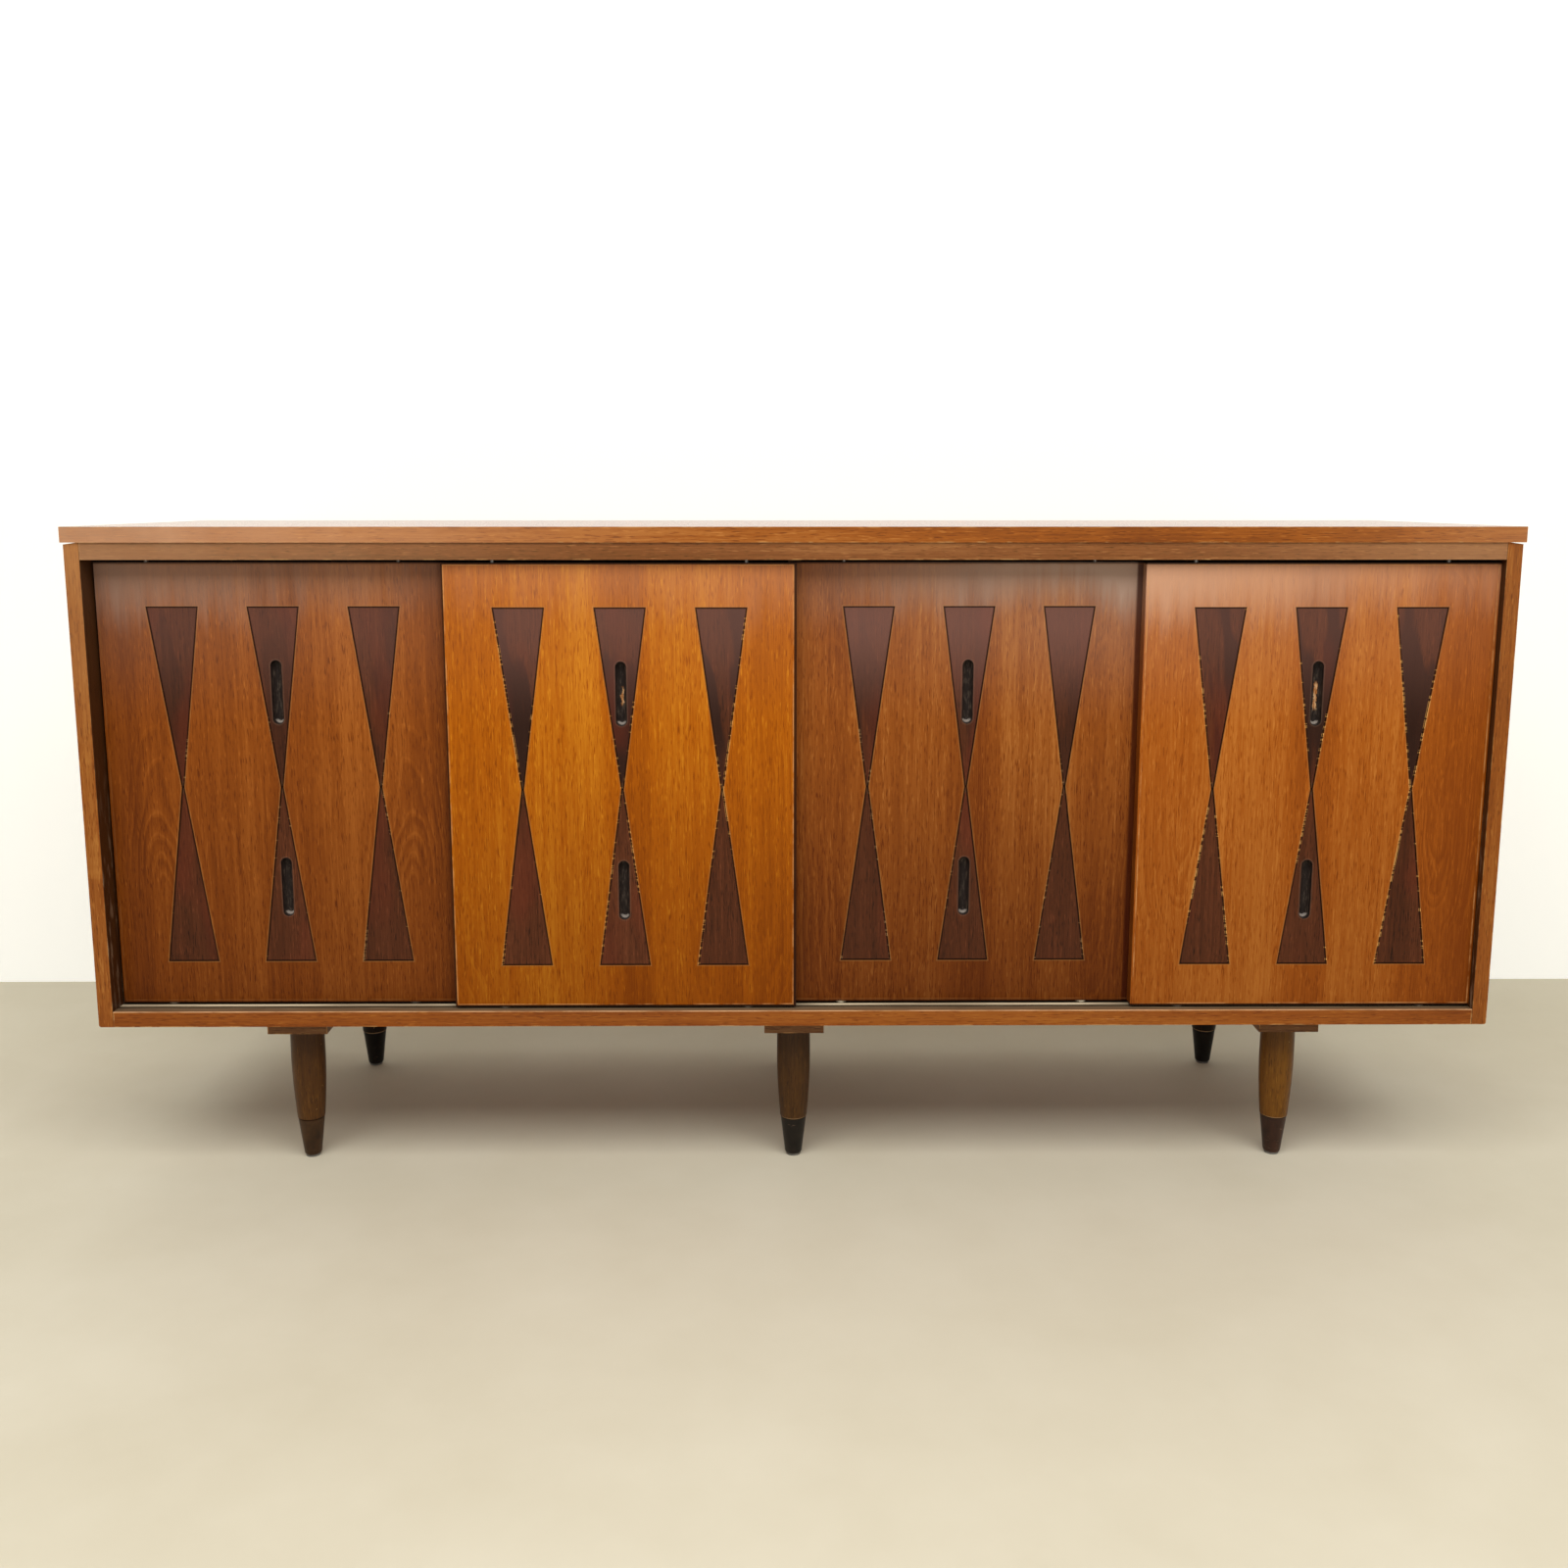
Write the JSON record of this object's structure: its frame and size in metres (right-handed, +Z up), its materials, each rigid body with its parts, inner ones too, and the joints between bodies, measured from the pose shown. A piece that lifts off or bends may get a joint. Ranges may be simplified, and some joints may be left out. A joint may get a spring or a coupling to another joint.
{
  "type": "sideboard buffet",
  "caption": "Long low wooden sideboard on turned legs, with sliding doors on two layers, dark hourglass inlays and upright finger slots.",
  "frame": {"origin": "on the floor, below the centre of the top", "axes": "+X to the right along the length, +Y from the front to the back, +Z up"},
  "size_m": [1.78, 0.46, 0.835],
  "materials": {
    "walnut": "oiled walnut, worn edges",
    "door_front": "bright orange-brown walnut veneer, satin",
    "door_rear": "darker red-brown walnut veneer, satin",
    "inlay": "dark rosewood veneer",
    "track_strip": "rubbed, waxed",
    "inner_wood": "plain, unpolished",
    "leg_wood": "oiled walnut, satin",
    "ferrule": "near-black, scuffed",
    "foot_glide": "grey, rubbed",
    "glide": "pale nylon",
    "shelf_pin": "dull",
    "steel": "plain zinc"
  },
  "bodies": {
    "case": {"top_panel": "walnut", "side_panel_left": "walnut", "side_panel_right": "walnut", "bottom_panel": "walnut", "bottom_track": "track_strip", "front_rail": "walnut", "back_rail": "inner_wood", "back_panel": "inner_wood", "center_divider": "inner_wood", "shelf_left": "inner_wood", "shelf_right": "inner_wood", "shelf_pins": "shelf_pin", "block_front_left": "walnut", "block_front_center": "walnut", "block_front_right": "walnut", "block_back_left": "walnut", "block_back_center": "walnut", "block_back_right": "walnut", "leg_front_left": "leg_wood", "leg_front_center": "leg_wood", "leg_front_right": "leg_wood", "leg_back_left": "leg_wood", "leg_back_center": "leg_wood", "leg_back_right": "leg_wood", "ferrule_front_left": "ferrule", "ferrule_front_center": "ferrule", "ferrule_front_right": "ferrule", "ferrule_back_left": "ferrule", "ferrule_back_center": "ferrule", "ferrule_back_right": "ferrule", "hanger_bolts": "steel", "block_screws": "steel", "top_screws": "steel", "back_panel_nails": "steel", "foot_glides": "foot_glide"},
    "door_1": {"door_1": "door_rear", "door_1_inlay_left": "inlay", "door_1_inlay_center": "inlay", "door_1_inlay_right": "inlay", "door_1_guide_pins": "steel", "door_1_glides": "glide"},
    "door_2": {"door_2": "door_front", "door_2_inlay_left": "inlay", "door_2_inlay_center": "inlay", "door_2_inlay_right": "inlay", "door_2_guide_pins": "steel", "door_2_glides": "glide"},
    "door_3": {"door_3": "door_rear", "door_3_inlay_left": "inlay", "door_3_inlay_center": "inlay", "door_3_inlay_right": "inlay", "door_3_guide_pins": "steel", "door_3_glides": "glide"},
    "door_4": {"door_4": "door_front", "door_4_inlay_left": "inlay", "door_4_inlay_center": "inlay", "door_4_inlay_right": "inlay", "door_4_guide_pins": "steel", "door_4_glides": "glide"}
  },
  "joints": [
    {"name": "door_1_slide", "type": "slide", "parent": "case", "child": "door_1", "axis": [1, 0, 0], "range_m": [-0.002, 0.425]},
    {"name": "door_2_slide", "type": "slide", "parent": "case", "child": "door_2", "axis": [1, 0, 0], "range_m": [-0.432, 0]},
    {"name": "door_3_slide", "type": "slide", "parent": "case", "child": "door_3", "axis": [1, 0, 0], "range_m": [0, 0.429]},
    {"name": "door_4_slide", "type": "slide", "parent": "case", "child": "door_4", "axis": [1, 0, 0], "range_m": [-0.427, 0]}
  ]
}
